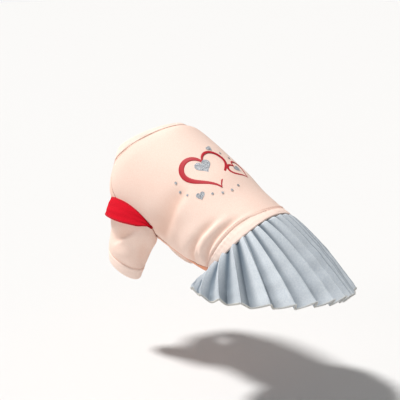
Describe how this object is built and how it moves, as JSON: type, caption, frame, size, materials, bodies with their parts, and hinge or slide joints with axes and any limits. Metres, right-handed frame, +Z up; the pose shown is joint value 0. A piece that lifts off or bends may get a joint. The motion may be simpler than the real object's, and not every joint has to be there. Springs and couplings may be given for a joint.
{
  "type": "dog dress",
  "caption": "Small dog's dress: jersey top with short sleeves and a belly panel, red shoulder wings and a knife-pleated skirt, in its worn shape.",
  "frame": {"origin": "on the inner face of the back panel, on its centre line halfway between waist and neck, where the dress rests on the dog's back", "axes": "-Y the way the dog faces, +X the dog's left, +Z up"},
  "size_m": [0.1874, 0.3558, 0.1975],
  "materials": {
    "jersey": "matte",
    "wing": "matte",
    "skirt": "matte"
  },
  "bodies": {
    "root": {"back_panel": "jersey", "belly_panel": "jersey", "neck_band": "jersey", "waist_band": "jersey", "sleeve_left": "jersey", "sleeve_right": "jersey", "cuff_left": "jersey", "cuff_right": "jersey", "shoulder_wing_left": "wing", "shoulder_wing_right": "wing", "skirt": "skirt"}
  },
  "joints": []
}
